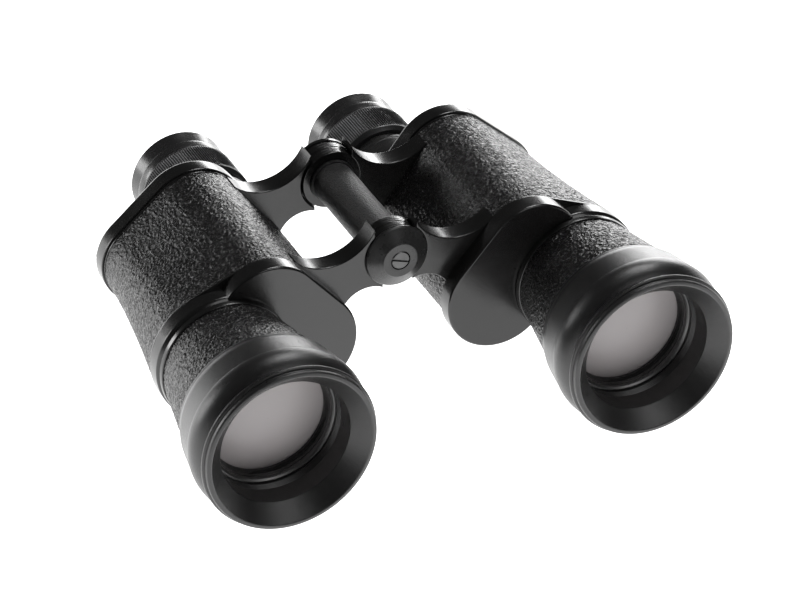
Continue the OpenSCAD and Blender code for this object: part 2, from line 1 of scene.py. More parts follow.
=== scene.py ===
import math
import bmesh
import bpy
import numpy as np
from mathutils import Matrix, Vector, noise
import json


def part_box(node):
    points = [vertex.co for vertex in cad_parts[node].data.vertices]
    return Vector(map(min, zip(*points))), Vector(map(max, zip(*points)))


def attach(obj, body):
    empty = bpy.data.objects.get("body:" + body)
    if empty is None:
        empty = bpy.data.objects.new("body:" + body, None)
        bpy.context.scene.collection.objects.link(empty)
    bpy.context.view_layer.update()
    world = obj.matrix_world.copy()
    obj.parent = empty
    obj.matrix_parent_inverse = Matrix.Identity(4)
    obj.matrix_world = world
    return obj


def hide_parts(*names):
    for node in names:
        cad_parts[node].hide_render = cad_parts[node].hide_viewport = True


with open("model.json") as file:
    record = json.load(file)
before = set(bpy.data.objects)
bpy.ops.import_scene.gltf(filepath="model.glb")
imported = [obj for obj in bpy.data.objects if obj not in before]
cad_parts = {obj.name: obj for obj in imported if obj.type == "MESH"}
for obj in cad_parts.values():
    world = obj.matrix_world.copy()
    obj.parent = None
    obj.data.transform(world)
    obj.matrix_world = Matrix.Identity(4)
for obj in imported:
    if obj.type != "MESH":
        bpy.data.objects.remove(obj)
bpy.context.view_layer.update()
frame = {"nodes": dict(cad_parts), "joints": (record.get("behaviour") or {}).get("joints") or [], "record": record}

# noise_vector starts from the clock unless it is seeded
noise.seed_set(1)

MM = 0.001
record = frame["record"]
joints = {joint["name"]: joint for joint in frame["joints"]}
mounts = {mount["name"]: mount for mount in record["mounts"]}
slot_of = {part["node"]: part["material_slot"] for part in record["subparts"]}

# Places across the barrels on the left half, as (x, z) from the hinge axis, in millimetres
hinge = (joints["eye_distance_hinge"]["pos_m"][0] / MM, joints["eye_distance_hinge"]["pos_m"][2] / MM)
throat = mounts["left_objective_throat"]
objective = (throat["pos_m"][0] / MM - hinge[0], throat["pos_m"][2] / MM - hinge[1])
focus_axis = joints["left_focus_turn"]["pos_m"]
eyepiece = (focus_axis[0] / MM - hinge[0], focus_axis[2] / MM - hinge[1])
upper_lobe = (47.0, -7.5)
shield_lobe = (35.3, -22.3)

# Sizes that the frame doesn't give, in millimetres
skin_t = 0.8
skin_edge = 0.25
case_wall = 2.2
tube_rear_r = 22.1
inner_lobe_r = 15.8
cover_lip = 0.7
knuckle_r = 10.6
ring_bore_r = 15.3
grip_bore_r = 12.97
shelf_pocket_r = 17


def reach_y(node):
    """A node's first and last station along the barrels, in millimetres."""
    low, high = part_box(node)
    return low.y / MM, high.y / MM


def widest(node, x):
    """How far a left-hand node reaches outwards from an axis at x, in millimetres."""
    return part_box(node)[1].x / MM - x


def half_width(node):
    """The radius of a round node, in millimetres."""
    low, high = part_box(node)
    return (high.x - low.x) / 2 / MM


# Stations and radii that the frame gives
cell_front = reach_y("left_objective_cell")[0]
tube_skin_front, tube_skin_rear = reach_y("left_tube_covering")
shield_front, shield_rear = reach_y("left_front_plate")
case_front, case_rear = reach_y("left_body")
skin_front, skin_rear = reach_y("left_body_covering")
cover_front, cover_rear = reach_y("left_rear_plate")
sleeve_rear = reach_y("left_eyepiece_mount")[1]
ring_front, ring_rear = reach_y("left_focus_ring")
cup_front, cup_rear = reach_y("left_eyecup")
retainer_front, retainer_rear = reach_y("left_lens_retainer")
hinge_tube_front, hinge_tube_rear = reach_y("hinge_tube")
cap_front, cap_rear = reach_y("hinge_front_cap")

throat_r = throat["dims"]["r_mm"]
cell_r = widest("left_objective_cell", objective[0])
tube_front_r = widest("left_tube_covering", objective[0])
flange_r = widest("left_front_plate", objective[0])
outer_lobe_rear_r = widest("left_rear_plate", objective[0]) - cover_lip
upper_lobe_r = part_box("left_body_covering")[1].z / MM - hinge[1] - upper_lobe[1]
ring_r = half_width("left_focus_ring")
cup_r = half_width("left_eyecup")
collar_r = half_width("left_eyepiece_mount")
hinge_tube_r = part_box("hinge_tube")[1].x / MM
cap_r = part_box("hinge_front_cap")[1].x / MM


# ---------------------------------------------------------------- camera, light and floor

# The way the photograph was taken: seen from the left front and above, with a long lens
camera_azimuth = math.radians(-24.851)
camera_elevation = math.radians(32.846)
camera_roll = math.radians(0.41)
camera_distance = 1.1876
camera_aim = Vector((0.0031, -0.0210, 0.0300))
camera_lens = 161.68
sensor_width = 36

# Strengths of the white world, as the camera sees it and as it lights the object
world_seen = 1.0
world_lit = 0.04

floor_half = 3.0
floor_gap = 0.0002
floor_glow = 1.85


def add_camera():
    back = Vector((
        math.sin(camera_azimuth) * math.cos(camera_elevation),
        -math.cos(camera_azimuth) * math.cos(camera_elevation),
        math.sin(camera_elevation),
    ))
    right = Vector((0, 0, 1)).cross(back).normalized()
    up = back.cross(right)
    cos_roll, sin_roll = math.cos(camera_roll), math.sin(camera_roll)
    rolled_right = right * cos_roll + up * sin_roll
    rolled_up = up * cos_roll - right * sin_roll
    turn = Matrix((rolled_right, rolled_up, back)).transposed().to_4x4()
    data = bpy.data.cameras.new("camera")
    data.lens = camera_lens
    data.sensor_width = sensor_width
    data.clip_start = 0.01
    data.clip_end = 50
    camera = bpy.data.objects.new("camera", data)
    camera.matrix_world = Matrix.Translation(camera_aim + back * camera_distance) @ turn
    bpy.context.scene.collection.objects.link(camera)
    bpy.context.scene.camera = camera


def add_light(name, place, aim, size, watts):
    data = bpy.data.lights.new(name, "AREA")
    data.shape = "RECTANGLE"
    data.size, data.size_y = size
    data.energy = watts
    lamp = bpy.data.objects.new(name, data)
    lamp.location = place
    lamp.rotation_euler = (Vector(aim) - Vector(place)).to_track_quat("-Z", "Y").to_euler()
    bpy.context.scene.collection.objects.link(lamp)


def add_world():
    """White where the camera sees it, and nearly dark as a source of light and reflections."""
    world = bpy.data.worlds.new("studio")
    world.use_nodes = True
    tree = world.node_tree
    tree.nodes.clear()
    path = tree.nodes.new("ShaderNodeLightPath")
    mix = tree.nodes.new("ShaderNodeMixShader")
    out = tree.nodes.new("ShaderNodeOutputWorld")
    tree.links.new(path.outputs["Is Camera Ray"], mix.inputs["Fac"])
    for socket, strength in ((1, world_lit), (2, world_seen)):
        white = tree.nodes.new("ShaderNodeBackground")
        white.inputs["Color"].default_value = (1, 1, 1, 1)
        white.inputs["Strength"].default_value = strength
        tree.links.new(white.outputs[0], mix.inputs[socket])
    tree.links.new(mix.outputs[0], out.inputs["Surface"])
    bpy.context.scene.world = world
    bpy.context.scene.view_settings.view_transform = "Standard"


def add_floor():
    """A pale, glowing floor that the cells' rims and the eyecups both touch."""
    cell_contact, cup_contact = 11.5, 1.1
    cell_y = (cell_front + cell_contact) * MM
    cup_y = (cup_rear - cup_contact) * MM
    cup_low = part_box("left_eyecup")[0].z
    slope = math.atan2(cup_low, cup_y - cell_y)
    mesh = bpy.data.meshes.new("floor")
    bm = bmesh.new()
    bmesh.ops.create_grid(bm, x_segments=8, y_segments=8, size=floor_half)
    bm.to_mesh(mesh)
    bm.free()
    floor = bpy.data.objects.new("floor", mesh)
    floor.rotation_euler = (slope, 0, 0)
    floor.location = (0, 0, -cell_y * math.tan(slope) - floor_gap)
    bpy.context.scene.collection.objects.link(floor)
    material = bpy.data.materials.new("floor_white")
    material.use_nodes = True
    shader = material.node_tree.nodes["Principled BSDF"]
    shader.inputs["Base Color"].default_value = (0.93, 0.93, 0.93, 1)
    shader.inputs["Roughness"].default_value = 0.9
    shader.inputs["Specular IOR Level"].default_value = 0.0
    shader.inputs["Emission Color"].default_value = (1, 1, 1, 1)
    shader.inputs["Emission Strength"].default_value = floor_glow
    mesh.materials.append(material)


# ---------------------------------------------------------------- materials

class Shader:
    """A Principled material with procedural maps in millimetres."""

    def __init__(self, name, color, roughness, **sockets):
        self.material = bpy.data.materials.new(name)
        self.material.use_nodes = True
        self.tree = self.material.node_tree
        self.surface = self.tree.nodes["Principled BSDF"]
        self.surface.inputs["Base Color"].default_value = (*color, 1)
        self.surface.inputs["Roughness"].default_value = roughness
        for socket, value in sockets.items():
            self.surface.inputs[socket.replace("_", " ")].default_value = value
        place = self.add("ShaderNodeTexCoord")
        self.mm = self.math_vector("SCALE", place.outputs["Object"], scale=1 / MM)

    def add(self, kind, **settings):
        node = self.tree.nodes.new(kind)
        for setting, value in settings.items():
            setattr(node, setting, value)
        return node

    def feed(self, socket, value):
        if isinstance(value, bpy.types.NodeSocket):
            self.tree.links.new(value, socket)
        else:
            socket.default_value = value

    def math_vector(self, operation, a, b=None, scale=None):
        node = self.add("ShaderNodeVectorMath", operation=operation)
        self.feed(node.inputs[0], a)
        if b is not None:
            self.feed(node.inputs[1], b)
        if scale is not None:
            self.feed(node.inputs["Scale"], scale)
        return node.outputs["Value" if operation == "LENGTH" else "Vector"]

    def math(self, operation, a, b):
        node = self.add("ShaderNodeMath", operation=operation)
        self.feed(node.inputs[0], a)
        self.feed(node.inputs[1], b)
        return node.outputs[0]

    def noise(self, per_mm, detail, rough=0.5, at=None):
        node = self.add("ShaderNodeTexNoise")
        self.feed(node.inputs["Vector"], at or self.mm)
        node.inputs["Scale"].default_value = per_mm
        node.inputs["Detail"].default_value = detail
        node.inputs["Roughness"].default_value = rough
        return node

    def cells(self, per_mm, at=None):
        node = self.add("ShaderNodeTexVoronoi", feature="SMOOTH_F1")
        self.feed(node.inputs["Vector"], at or self.mm)
        node.inputs["Scale"].default_value = per_mm
        return node.outputs["Distance"]

    def ramp(self, value, low, high, out_low, out_high):
        node = self.add("ShaderNodeMapRange")
        self.feed(node.inputs["Value"], value)
        ends = {"From Min": low, "From Max": high, "To Min": out_low, "To Max": out_high}
        for socket, number in ends.items():
            node.inputs[socket].default_value = number
        return node.outputs["Result"]

    def color_between(self, factor, dark, light):
        node = self.add("ShaderNodeMix", data_type="RGBA")
        self.feed(node.inputs["Factor"], factor)
        node.inputs["A"].default_value = (*dark, 1)
        node.inputs["B"].default_value = (*light, 1)
        self.feed(self.surface.inputs["Base Color"], node.outputs["Result"])

    def bump(self, height, depth_mm, strength=1.0, under=None):
        node = self.add("ShaderNodeBump")
        node.inputs["Strength"].default_value = strength
        node.inputs["Distance"].default_value = depth_mm * MM
        self.feed(node.inputs["Height"], height)
        if under is not None:
            self.tree.links.new(under, node.inputs["Normal"])
        self.feed(self.surface.inputs["Normal"], node.outputs["Normal"])
        return node.outputs["Normal"]

    def roughness(self, value):
        self.feed(self.surface.inputs["Roughness"], value)


def grained_leather():
    """Black pebble-grained covering, polished on its high spots."""
    shader = Shader("grained_leather", (0.012, 0.012, 0.013), 0.4)
    warp = shader.math_vector("SCALE", shader.noise(0.55, 2).outputs["Color"], scale=1.3)
    at = shader.math_vector("ADD", shader.mm, warp)
    pebbles = shader.math("MULTIPLY", shader.cells(1.05, at=at), -1.0)
    wrinkles = shader.noise(1.5, 3, 0.55, at=at).outputs["Fac"]
    height = shader.math("ADD", pebbles, wrinkles)
    fine = shader.noise(6.0, 2).outputs["Fac"]
    under = shader.bump(fine, 0.04, 0.6)
    shader.bump(height, 0.28, under=under)
    shader.roughness(shader.ramp(height, -0.4, 0.3, 0.36, 0.2))
    patches = shader.noise(0.08, 3).outputs["Fac"]
    shader.color_between(patches, (0.006, 0.006, 0.0063), (0.013, 0.0126, 0.0123))
    return shader.material


def painted(name, tone, roughness):
    """Smooth semi-gloss black paint with a slight orange peel and faint rubbed patches."""
    shader = Shader(name, (tone, tone, tone), roughness)
    peel = shader.noise(1.2, 3).outputs["Fac"]
    shader.bump(peel, 0.012)
    patches = shader.noise(0.12, 4, 0.6).outputs["Fac"]
    shader.roughness(shader.ramp(patches, 0.3, 0.7, roughness * 0.8, roughness * 1.25))
    shader.color_between(patches, (tone * 0.8,) * 3, (tone * 1.3, tone * 1.28, tone * 1.26))
    return shader.material


def cast_paint():
    """Paint over a finely cast surface."""
    shader = Shader("cast_paint", (0.014, 0.014, 0.014), 0.26)
    grain = shader.noise(4.2, 3, 0.6).outputs["Fac"]
    shader.bump(grain, 0.06)
    patches = shader.noise(0.1, 4, 0.6).outputs["Fac"]
    shader.roughness(shader.ramp(patches, 0.3, 0.7, 0.27, 0.34))
    shader.color_between(patches, (0.011, 0.011, 0.0115), (0.016, 0.0155, 0.0155))
    return shader.material


def crackle_paint():
    """Coarse crackle paint on the hinge tube."""
    shader = Shader("crackle_paint", (0.02, 0.02, 0.021), 0.5)
    lumps = shader.cells(1.9)
    grain = shader.noise(3.2, 4, 0.6).outputs["Fac"]
    height = shader.math("ADD", shader.math("MULTIPLY", lumps, -0.6), grain)
    shader.bump(height, 0.6)
    shader.roughness(shader.ramp(grain, 0.3, 0.7, 0.34, 0.55))
    shader.color_between(grain, (0.008, 0.008, 0.0085), (0.018, 0.0175, 0.0175))
    return shader.material


def turned_metal(name, tone, roughness, metallic):
    """Dark turned metal: fine rings round the hinge axis."""
    rings_per_mm = 2.2
    shader = Shader(name, (tone, tone, tone), roughness, Metallic=metallic)
    away = shader.math_vector("SUBTRACT", shader.mm, (hinge[0], 0, hinge[1]))
    across = shader.math_vector("LENGTH", shader.math_vector("MULTIPLY", away, (1, 0, 1)))
    along = shader.add("ShaderNodeTexNoise", noise_dimensions="1D")
    along.inputs["Scale"].default_value = rings_per_mm
    along.inputs["Detail"].default_value = 5
    shader.feed(along.inputs["W"], across)
    shader.bump(along.outputs["Fac"], 0.03, 0.7)
    patches = shader.noise(0.3, 3).outputs["Fac"]
    shader.roughness(shader.ramp(patches, 0.3, 0.7, roughness * 0.8, roughness * 1.2))
    shader.color_between(along.outputs["Fac"], (tone * 0.8,) * 3, (tone * 1.2,) * 3)
    return shader.material


def plain_metal(name, color, roughness, metallic=1.0):
    """Machined metal with a fine grain."""
    shader = Shader(name, color, roughness, Metallic=metallic)
    grain = shader.noise(3.5, 4, 0.6).outputs["Fac"]
    shader.bump(grain, 0.015, 0.7)
    shader.roughness(shader.ramp(grain, 0.3, 0.7, roughness * 0.8, roughness * 1.25))
    shader.color_between(grain, tuple(c * 0.85 for c in color), tuple(c * 1.1 for c in color))
    return shader.material


def hard_plastic():
    """Polished black eyecups with faint handling marks."""
    shader = Shader("hard_plastic", (0.008, 0.008, 0.0085), 0.14)
    marks = shader.noise(0.35, 6, 0.7).outputs["Fac"]
    shader.roughness(shader.ramp(marks, 0.35, 0.75, 0.22, 0.32))
    shader.bump(marks, 0.01, 0.6)
    shader.color_between(marks, (0.014, 0.014, 0.0145), (0.022, 0.0215, 0.0215))
    return shader.material


def coated_glass():
    """Polished glass with a painted reflection: the coating's warm grey is put into its base colour."""
    # The warm grey base colour, here and in the haze mix below, is a painted reflection of the coating, varied by
    # a faint random haze
    shader = Shader("coated_glass", (0.3, 0.28, 0.285), 0.3, Specular_IOR_Level=0.3)
    haze = shader.noise(0.03, 2).outputs["Fac"]
    shader.color_between(haze, (0.39, 0.365, 0.37), (0.42, 0.395, 0.395))
    shader.roughness(shader.ramp(haze, 0.3, 0.7, 0.26, 0.34))
    return shader.material


def prism_glass():
    """Clear glass with a faint haze on its ground faces."""
    shader = Shader("prism_glass", (0.75, 0.82, 0.8), 0.05, Transmission_Weight=0.85)
    haze = shader.noise(0.2, 3).outputs["Fac"]
    shader.roughness(shader.ramp(haze, 0.3, 0.7, 0.03, 0.09))
    return shader.material


materials = {
    "leatherette": grained_leather(),
    "casting": painted("arm_paint", 0.008, 0.22),
    "shield": painted("shield_paint", 0.009, 0.2),
    "plate": painted("plate_paint", 0.009, 0.2),
    "cell": cast_paint(),
    "tube_metal": plain_metal("blackened_tube", (0.13, 0.13, 0.13), 0.4),
    "screw_steel": plain_metal("blued_steel", (0.07, 0.07, 0.072), 0.32, 0.8),
    "inner_black": painted("inner_black", 0.012, 0.16),
    "coated_glass": coated_glass(),
    "prism_glass": prism_glass(),
    "shelf_metal": plain_metal("shelf_metal", (0.5, 0.5, 0.52), 0.45),
    "spring_brass": plain_metal("spring_brass", (0.7, 0.58, 0.32), 0.35),
    "eyepiece_metal": painted("eyepiece_paint", 0.018, 0.26),
    "knurled_metal": plain_metal("knurled_metal", (0.035, 0.035, 0.036), 0.3, 0.6),
    "eyecup_plastic": hard_plastic(),
    "steel": turned_metal("turned_steel", 0.09, 0.32, 0.85),
    "crackle_paint": crackle_paint(),
    "turned_metal": turned_metal("turned_dark_metal", 0.04, 0.3, 0.5),
}


# ---------------------------------------------------------------- mesh helpers

def make_piece(name, verts, faces, slot, body, replaces, sharp):
    """Makes a piece from points in millimetres."""
    mesh = bpy.data.meshes.new(name)
    mesh.from_pydata([tuple(v * MM for v in p) for p in verts], [], faces)
    finish_piece(name, mesh, slot, body, replaces, sharp)


def finish_piece(name, mesh, slot, body, replaces, sharp=35):
    """Shades a closed mesh, gives it its material and lets it ride on its body."""
    bm = bmesh.new()
    bm.from_mesh(mesh)
    bmesh.ops.dissolve_degenerate(bm, edges=bm.edges, dist=1e-8)
    bmesh.ops.recalc_face_normals(bm, faces=bm.faces)
    bm.to_mesh(mesh)
    bm.free()
    mesh.shade_smooth()
    mesh.set_sharp_from_angle(angle=math.radians(sharp))
    mesh.materials.clear()
    mesh.materials.append(materials[slot])
    piece = bpy.data.objects.new(name, mesh)
    bpy.context.scene.collection.objects.link(piece)
    normals = piece.modifiers.new("even_normals", "WEIGHTED_NORMAL")
    normals.keep_sharp = True
    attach(piece, body)
    if replaces:
        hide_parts(*replaces)


def side_place(side, x, y, z):
    """A point given from the hinge axis on the left half, in the row frame on either half."""
    return (hinge[0] + (x if side == "left" else -x), y, hinge[1] + z)


def rounded(profile, steps=5):
    """Rounds each corner of a closed profile of (r, y, rounding) points."""
    most_cut = 0.48
    points = []
    count = len(profile)
    for i, (r, y, rounding) in enumerate(profile):
        here = Vector((r, y))
        before = Vector(profile[i - 1][:2]) - here
        after = Vector(profile[(i + 1) % count][:2]) - here
        cut = min(rounding, before.length * most_cut, after.length * most_cut)
        if cut <= 0:
            points.append(here)
            continue
        start, end = here + before.normalized() * cut, here + after.normalized() * cut
        for k in range(steps + 1):
            t = k / steps
            points.append(start * (1 - t) ** 2 + here * 2 * t * (1 - t) + end * t ** 2)
    return points


def lathe(name, side, axis, profile, slot, body, replaces=(), *, segments, ripple=None, sharp=35):
    """Turns a closed profile of (r, y) points about an axis along the barrels."""
    verts, faces = [], []
    count = len(profile)
    for k in range(segments):
        turn = 2 * math.pi * k / segments
        for r, y in profile:
            wide = r + (ripple(turn, r, y) if ripple else 0)
            x, z = axis[0] + wide * math.cos(turn), axis[1] + wide * math.sin(turn)
            verts.append(side_place(side, x, y, z))
    for k in range(segments):
        a, b = k * count, (k + 1) % segments * count
        for i in range(count):
            j = (i + 1) % count
            faces.append((a + i, a + j, b + j, b + i))
    make_piece(name, verts, faces, slot, body, replaces, sharp)


def outline(circles, inset=0.0):
    """Points round the tight outline of several ((x, z), radius) circles, shrunk by inset."""
    directions = 288
    found = []
    for k in range(directions):
        turn = 2 * math.pi * k / directions
        way = Vector((math.cos(turn), math.sin(turn)))
        centre, radius = max(circles, key=lambda c: Vector(c[0]).dot(way) + c[1])
        found.append(Vector(centre) + way * (radius - inset))
    return found


def evenly(points, count):
    """The same closed outline with its points evenly spaced."""
    ring = np.array([tuple(p) for p in points] + [tuple(points[0])])
    run = np.concatenate([[0], np.cumsum(np.linalg.norm(np.diff(ring, axis=0), axis=1))])
    wanted = np.arange(count) * run[-1] / count
    return [Vector((np.interp(w, run, ring[:, 0]), np.interp(w, run, ring[:, 1]))) for w in wanted]


def loft(side, rings):
    """Vertices and faces through (y, outline) rings, closed back into the first ring."""
    verts = [side_place(side, p[0], y, p[1]) for y, ring in rings for p in ring]
    count = len(rings[0][1])
    faces = []
    for j in range(len(rings)):
        a, b = j * count, (j + 1) % len(rings) * count
        for i in range(count):
            k = (i + 1) % count
            faces.append((a + i, a + k, b + k, b + i))
    return verts, faces


# ---------------------------------------------------------------- the housing

def outer_lobe_at(y):
    """The outer lobe's radius at a station: it widens towards the front."""
    part = max(0.0, case_rear - y) / (case_rear - case_front)
    return outer_lobe_rear_r + (flange_r - outer_lobe_rear_r) * part ** 1.5


def case_circles(y):
    """The three lobes of the housing's outline at a station."""
    return [(upper_lobe, upper_lobe_r), (objective, outer_lobe_at(y)), (eyepiece, inner_lobe_r)]


def case_rings(y0, y1, inset, steps, points):
    """The housing's outline at evenly spaced stations, shrunk by inset."""
    stations = [y0 + (y1 - y0) * i / max(steps, 1) for i in range(steps + 1)]
    return [(y, evenly(outline(case_circles(y), inset), points)) for y in stations]


def pebbled(side, verts, first, rings, count):
    """Presses the grooves between leather pebbles into rings of a skin, along its own inward way."""
    depth, pebbles_per_mm = 0.36, 0.74
    warp, groove_width = 0.75, 0.5
    groove_share, swell_share = 0.8, 0.35
    offset = Vector((0, 0, 0)) if side == "left" else Vector((13.7, 5.1, 8.3))
    moved = list(verts)
    for j in range(first, first + rings):
        for i in range(count):
            k = j * count + i
            here = Vector(verts[k])
            before = Vector(verts[j * count + (i - 1) % count])
            after = Vector(verts[j * count + (i + 1) % count])
            run = (after - before).normalized()
            inward = Vector((-run.z, 0, run.x)) if side == "left" else Vector((run.z, 0, -run.x))
            at = here * pebbles_per_mm + offset
            at += noise.noise_vector(at * 0.7) * warp
            near = noise.voronoi(at)[0]
            groove = max(0.0, 1 - (near[1] - near[0]) / groove_width) ** 1.6
            swell = 0.5 - 0.5 * noise.noise(at * 1.9)
            moved[k] = tuple(here + inward * depth * (groove_share * groove + swell_share * swell))
    return moved


def leather_skin(side):
    """The grained skin round the housing, with its edges turned in."""
    points, steps = 520, 158
    outer = case_rings(skin_front + skin_edge, skin_rear - skin_edge, 0.0, steps, points)
    front = case_rings(skin_front, skin_front, skin_edge, 0, points)
    rear = case_rings(skin_rear, skin_rear, skin_edge, 0, points)
    inner = case_rings(skin_rear, skin_front, skin_t, 4, points)
    verts, faces = loft(side, front + outer + rear + inner)
    verts = pebbled(side, verts, 1, steps + 1, points)
    make_piece(f"{side}_leather_skin", verts, faces, "leatherette", f"{side}_barrel",
               [f"{side}_body_covering"], sharp=70)


def circle_points(centre, radius, count):
    """Points round a circle."""
    turns = [2 * math.pi * k / count for k in range(count)]
    return [Vector((centre[0] + radius * math.cos(t), centre[1] + radius * math.sin(t))) for t in turns]


def tube_leather(side):
    """The grained skin round the objective tube."""
    points, steps = 460, 84
    y0, y1 = tube_skin_front, tube_skin_rear
    slope = (tube_rear_r - tube_front_r) / (y1 - y0)
    rings = []
    for i in range(steps + 1):
        y = y0 + (y1 - skin_edge - y0) * i / steps
        rings.append((y, circle_points(objective, tube_front_r + slope * (y - y0), points)))
    rings.append((y1, circle_points(objective, tube_rear_r - skin_edge, points)))
    rings.append((y1, circle_points(objective, tube_rear_r - skin_t, points)))
    rings.append((y0, circle_points(objective, tube_front_r - skin_t, points)))
    verts, faces = loft(side, rings)
    verts = pebbled(side, verts, 0, steps + 1, points)
    make_piece(f"{side}_tube_leather", verts, faces, "leatherette", f"{side}_barrel",
               [f"{side}_tube_covering"], sharp=70)


def rounded_edge(radius, steps):
    """(depth, inset) pairs round a quarter turn, from a plate's side to its face."""
    if not radius:
        return [(0, 0)]
    turns = [math.radians(90 * i / steps) for i in range(steps + 1)]
    return [(radius * (1 - math.sin(t)), radius * (1 - math.cos(t))) for t in turns]


class Solid:
    """A closed shape put together from walls of rings and flat faces with holes."""

    def __init__(self, side):
        self.side = side
        self.bm = bmesh.new()

    def loop(self, y, ring):
        """New vertices for an outline at a station."""
        return [self.bm.verts.new(Vector(side_place(self.side, p[0], y, p[1])) * MM) for p in ring]

    def wall(self, rings):
        """Joins (y, outline) rings and gives the loops at its two ends."""
        loops = [self.loop(y, ring) for y, ring in rings]
        for a, b in zip(loops, loops[1:]):
            for i in range(len(a)):
                k = (i + 1) % len(a)
                self.bm.faces.new((a[i], a[k], b[k], b[i]))
        return loops[0], loops[-1]

    def flat(self, *loops):
        """Fills between loops that lie in one plane."""
        edges = []
        for loop in loops:
            for a, b in zip(loop, loop[1:] + loop[:1]):
                edges.append(self.bm.edges.get((a, b)) or self.bm.edges.new((a, b)))
        bmesh.ops.triangle_fill(self.bm, use_beauty=True, use_dissolve=False, edges=edges)

    def slab(self, ring, y0, y1, round0=0.0, round1=0.0, steps=4):
        """A plate of one outline, with its edges rounded at either face."""
        front, rear = rounded_edge(round0, steps)[::-1], rounded_edge(round1, steps)
        rings = [(y0 + depth, inset_ring(ring, inset)) for depth, inset in front]
        rings += [(y1 - depth, inset_ring(ring, inset)) for depth, inset in rear]
        first, last = self.wall(rings)
        self.flat(first)
        self.flat(last)

    def turned(self, axis, profile, segments=128):
        """A ring turned from a closed profile of (r, y) points."""
        loops = [self.loop(y, circle_points(axis, r, segments)) for r, y in profile]
        for a, b in zip(loops, loops[1:] + loops[:1]):
            for i in range(segments):
                k = (i + 1) % segments
                self.bm.faces.new((a[i], a[k], b[k], b[i]))

    def finish(self, name, slot, body, replaces):
        """Turns the shape into a piece."""
        mesh = bpy.data.meshes.new(name)
        self.bm.to_mesh(mesh)
        self.bm.free()
        finish_piece(name, mesh, slot, body, replaces)


def inset_ring(ring, inset):
    """A closed outline, listed anticlockwise, shrunk by a small inset."""
    if not inset:
        return list(ring)
    count = len(ring)
    shrunk = []
    for i, here in enumerate(ring):
        first = (here - ring[i - 1]).normalized()
        second = (ring[(i + 1) % count] - here).normalized()
        middle = (first + second).normalized()
        inward = Vector((-middle.y, middle.x))
        shrunk.append(here + inward * inset / max(0.5, middle.dot(first)))
    return shrunk


def pocket_rings(y0, y1, upper_r, outer_r, inner_r):
    """A straight pocket with the housing's three lobes."""
    lobes = [(upper_lobe, upper_r), (objective, outer_r), (eyepiece, inner_r)]
    ring = evenly(outline(lobes), 160)
    return [(y0, ring), (y1, ring)]


def arc_ring(centre, radius, start, end, steps):
    """Points on an arc, with its angles in degrees."""
    turns = [math.radians(start + (end - start) * i / steps) for i in range(steps + 1)]
    return [Vector((centre[0] + radius * math.cos(t), centre[1] + radius * math.sin(t))) for t in turns]


def arm_ring(cut_r, foot_x):
    """The arm's outline, anticlockwise: arched below, hollowed above, cut round the hinge at cut_r."""
    hollow, hollow_r = (23.3, 18.6), 17.4
    arch, arch_r = (9.6, -20.6), 10.4
    crest = (7.55, 11.2)
    crest_lean = 0.4
    inside_housing = ((22, -22), (32, -22), (42, -10), (38, 2))
    foot_z = arch[1] + math.sqrt(arch_r ** 2 - (arch[0] - foot_x) ** 2)
    foot_turn = math.degrees(math.atan2(foot_z - arch[1], foot_x - arch[0]))
    low_turn = -math.degrees(math.acos(foot_x / cut_r))
    high_turn = math.degrees(math.acos((crest[0] - crest_lean) / cut_r))
    crest_turn = math.degrees(math.atan2(crest[1] - hollow[1], crest[0] - hollow[0]))
    meeting = Vector(upper_lobe) - Vector(hollow)
    meeting_turn = math.degrees(math.atan2(meeting.y, meeting.x))
    points = arc_ring(arch, arch_r, foot_turn, 0, 28)
    points += [Vector(p) for p in inside_housing]
    points += arc_ring(hollow, hollow_r, meeting_turn, crest_turn, 64)
    points += arc_ring((0, 0), cut_r, high_turn, low_turn, 30)
    return points


def knuckle_profile(y0, y1):
    """A knuckle's section: rounded edges and two fine turned grooves."""
    bore, groove, groove_half, soft = 5.1, 0.22, 0.14, 0.05
    middle = (y0 + y1) / 2
    points = [(bore, y0, 0), (knuckle_r, y0, 0.35)]
    for y in (middle - 0.55, middle + 0.75):
        points += [(knuckle_r, y - groove_half, soft), (knuckle_r - groove, y, soft),
                   (knuckle_r, y + groove_half, soft)]
    points += [(knuckle_r, y1, 0.35), (bore, y1, 0)]
    return rounded(points, 3)


